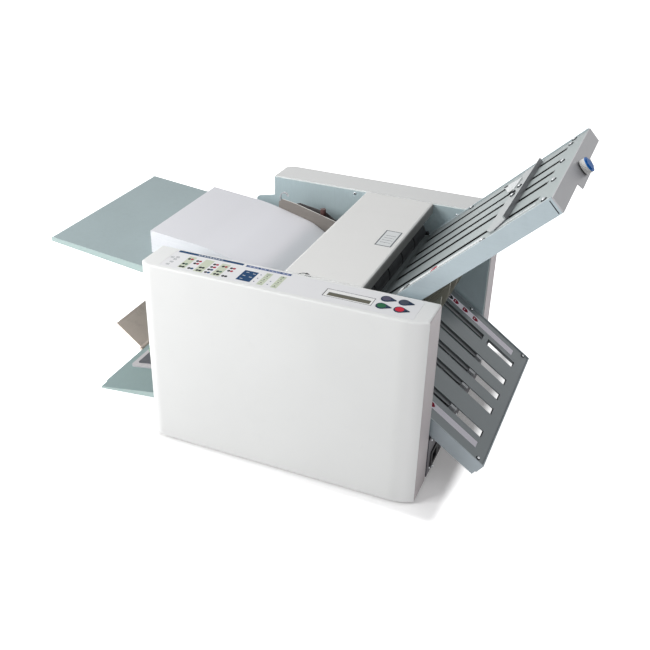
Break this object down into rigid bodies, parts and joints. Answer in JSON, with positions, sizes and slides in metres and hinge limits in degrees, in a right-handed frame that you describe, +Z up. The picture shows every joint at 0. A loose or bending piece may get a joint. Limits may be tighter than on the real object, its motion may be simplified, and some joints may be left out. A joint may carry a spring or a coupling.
{
  "type": "paper folding machine",
  "caption": "Desktop paper folding machine with a sloping feed tray, two slotted buckle fold plates on the right and a low delivery tray on the left.",
  "frame": {"origin": "on the table under the middle of the machine's bounding box", "axes": "+X along the sheet's way from the feed tray to the fold plates, +Y from the operator's side to the rear, +Z up"},
  "size_m": [0.825, 0.477, 0.4907],
  "materials": {
    "cover_light": "satin",
    "panel_film": "satin",
    "display_glass": "glossy",
    "board": "matte",
    "key_grey": "matte",
    "key_teal": "matte",
    "key_green": "matte",
    "key_red": "matte",
    "frame_steel": "satin",
    "bright_steel": "brushed",
    "plate_steel": "satin",
    "tray_paint": "satin",
    "brown_steel": "satin",
    "dark_plastic": "matte",
    "roller_rubber": "matte",
    "green_rubber": "matte",
    "bronze": "satin",
    "paper": "matte"
  },
  "bodies": {
    "housing": {"base_pan": "frame_steel", "end_panel": "frame_steel", "front_frame": "frame_steel", "rear_frame": "frame_steel", "tie_bars": "bright_steel", "roller_bushes": "bronze", "rubber_feet": "dark_plastic", "front_cover": "cover_light", "rear_cover": "cover_light", "control_overlay": "panel_film", "display_window": "display_glass", "control_board": "board", "power_inlet": "dark_plastic", "feed_tray": "tray_paint", "feed_table": "plate_steel", "separator": "dark_plastic", "drive_belts": "dark_plastic", "drive_motor": "frame_steel", "lid_switch": "dark_plastic", "throat_fins": "brown_steel", "exit_chute": "plate_steel", "delivery_tray": "tray_paint", "delivery_bed": "cover_light", "delivery_pad": "dark_plastic"},
    "lid": {"top_lid": "cover_light"},
    "count_key": {"count_button": "key_grey"},
    "test_key": {"test_button": "key_teal"},
    "start_key": {"start_button": "key_green"},
    "stop_key": {"stop_button": "key_red"},
    "switch_rocker": {"power_switch": "dark_plastic"},
    "front_guide": {"front_side_guide": "plate_steel"},
    "rear_guide": {"rear_side_guide": "plate_steel"},
    "front_clamp": {"front_guide_knob": "dark_plastic"},
    "rear_clamp": {"rear_guide_knob": "dark_plastic"},
    "stack": {"paper_stack": "paper"},
    "feed_shaft": {"feed_roller": "roller_rubber"},
    "roller_1": {"fold_roller_1": "roller_rubber", "roller_gear_1": "bright_steel"},
    "roller_2": {"fold_roller_2": "roller_rubber", "roller_gear_2": "bright_steel"},
    "roller_3": {"fold_roller_3": "roller_rubber", "roller_gear_3": "bright_steel"},
    "roller_4": {"fold_roller_4": "roller_rubber", "roller_gear_4": "bright_steel"},
    "motor_shaft": {"motor_pulley": "bright_steel"},
    "exit_shaft": {"exit_roller": "green_rubber"},
    "deflector": {"deflector_plate": "brown_steel"},
    "extension": {"delivery_extension": "tray_paint"},
    "upper_plate": {"upper_cover": "plate_steel", "upper_bed": "plate_steel", "upper_rails": "plate_steel", "upper_end_bracket": "plate_steel"},
    "upper_paper_stop": {"upper_stop": "plate_steel"},
    "fine_knob": {"stop_knob": "bright_steel"},
    "lower_plate": {"lower_cover": "plate_steel", "lower_bed": "plate_steel", "lower_frame": "plate_steel"},
    "lower_paper_stop": {"lower_stop": "plate_steel"}
  },
  "joints": [
    {"name": "lid_hinge", "type": "hinge", "parent": "housing", "child": "lid", "pos_m": [0.02346, 0.0025, 0.301], "axis": [0, -1, 0], "range_deg": [0, 100]},
    {"name": "count_press", "type": "slide", "parent": "housing", "child": "count_key", "axis": [0, 0, -1], "range_m": [0, 0.0012], "stiffness_N_per_m": 750, "springref_m": -0.0008},
    {"name": "test_press", "type": "slide", "parent": "housing", "child": "test_key", "axis": [0, 0, -1], "range_m": [0, 0.0012], "stiffness_N_per_m": 750, "springref_m": -0.0008},
    {"name": "start_press", "type": "slide", "parent": "housing", "child": "start_key", "axis": [0, 0, -1], "range_m": [0, 0.0012], "stiffness_N_per_m": 750, "springref_m": -0.0008},
    {"name": "stop_press", "type": "slide", "parent": "housing", "child": "stop_key", "axis": [0, 0, -1], "range_m": [0, 0.0012], "stiffness_N_per_m": 750, "springref_m": -0.0008},
    {"name": "switch_rock", "type": "hinge", "parent": "housing", "child": "switch_rocker", "pos_m": [0.25796, -0.1085, 0.031], "axis": [0, -1, 0], "range_deg": [0, 16]},
    {"name": "front_guide_slide", "type": "slide", "parent": "housing", "child": "front_guide", "axis": [0, -1, 0], "range_m": [0, 0.04]},
    {"name": "rear_guide_slide", "type": "slide", "parent": "housing", "child": "rear_guide", "axis": [0, 1, 0], "range_m": [0, 0.04]},
    {"name": "front_clamp_turn", "type": "hinge", "parent": "front_guide", "child": "front_clamp", "pos_m": [-0.04054, -0.1168, 0.274], "axis": [0, 0, 1], "range_deg": [0, 360]},
    {"name": "rear_clamp_turn", "type": "hinge", "parent": "rear_guide", "child": "rear_clamp", "pos_m": [-0.04054, 0.1218, 0.274], "axis": [0, 0, 1], "range_deg": [0, 360]},
    {"name": "stack_lift", "type": "slide", "parent": "housing", "child": "stack", "axis": [-0.9613, 0, 0.2756], "range_m": [0, 0.3]},
    {"name": "roller_2_spin", "type": "hinge", "parent": "housing", "child": "roller_2", "pos_m": [0.11646, 0.0025, 0.222], "axis": [0, 1, 0], "continuous": true},
    {"name": "roller_1_spin", "type": "hinge", "parent": "housing", "child": "roller_1", "pos_m": [0.11646, 0.0025, 0.264], "axis": [0, 1, 0], "continuous": true},
    {"name": "roller_3_spin", "type": "hinge", "parent": "housing", "child": "roller_3", "pos_m": [0.15846, 0.0025, 0.222], "axis": [0, 1, 0], "continuous": true},
    {"name": "roller_4_spin", "type": "hinge", "parent": "housing", "child": "roller_4", "pos_m": [0.11646, 0.0025, 0.18], "axis": [0, 1, 0], "continuous": true},
    {"name": "feed_spin", "type": "hinge", "parent": "housing", "child": "feed_shaft", "pos_m": [0.02646, 0.0025, 0.2165], "axis": [0, 1, 0], "continuous": true},
    {"name": "motor_spin", "type": "hinge", "parent": "housing", "child": "motor_shaft", "pos_m": [0.07646, 0.0025, 0.062], "axis": [0, 1, 0], "continuous": true},
    {"name": "exit_spin", "type": "hinge", "parent": "housing", "child": "exit_shaft", "pos_m": [-0.24954, 0.0025, 0.078], "axis": [0, 1, 0], "continuous": true},
    {"name": "deflector_tilt", "type": "hinge", "parent": "housing", "child": "deflector", "pos_m": [-0.26254, 0.0025, 0.093], "axis": [0, -1, 0], "range_deg": [-30, 30]},
    {"name": "extension_slide", "type": "slide", "parent": "housing", "child": "extension", "axis": [-1, 0, 0], "range_m": [0, 0.11]},
    {"name": "upper_plate_lift", "type": "slide", "parent": "housing", "child": "upper_plate", "axis": [0.7254, 0, 0.6884], "range_m": [0, 0.06]},
    {"name": "upper_stop_slide", "type": "slide", "parent": "upper_plate", "child": "upper_paper_stop", "axis": [0.7254, 0, 0.6884], "range_m": [-0.16, 0.045]},
    {"name": "fine_knob_turn", "type": "hinge", "parent": "upper_plate", "child": "fine_knob", "pos_m": [0.3952, 0.0045, 0.47344], "axis": [0.7254, 0, 0.6884], "range_deg": [-2070, 7245]},
    {"name": "lower_plate_lift", "type": "slide", "parent": "housing", "child": "lower_plate", "axis": [0.9397, 0, 0.342], "range_m": [0, 0.06]},
    {"name": "lower_stop_slide", "type": "slide", "parent": "lower_plate", "child": "lower_paper_stop", "axis": [0.8151, 0, -0.5793], "range_m": [-0.1, 0.05]}
  ],
  "couplings": [
    {"joint": "roller_1_spin", "follows": "roller_2_spin", "ratio": -1},
    {"joint": "roller_3_spin", "follows": "roller_2_spin", "ratio": -1},
    {"joint": "roller_4_spin", "follows": "roller_2_spin", "ratio": -1},
    {"joint": "feed_spin", "follows": "roller_2_spin", "ratio": 0.875},
    {"joint": "motor_spin", "follows": "roller_2_spin", "ratio": 2.4},
    {"joint": "exit_spin", "follows": "roller_2_spin", "ratio": 1},
    {"joint": "fine_knob_turn", "follows": "upper_stop_slide", "rad_per_m": -785.4}
  ]
}
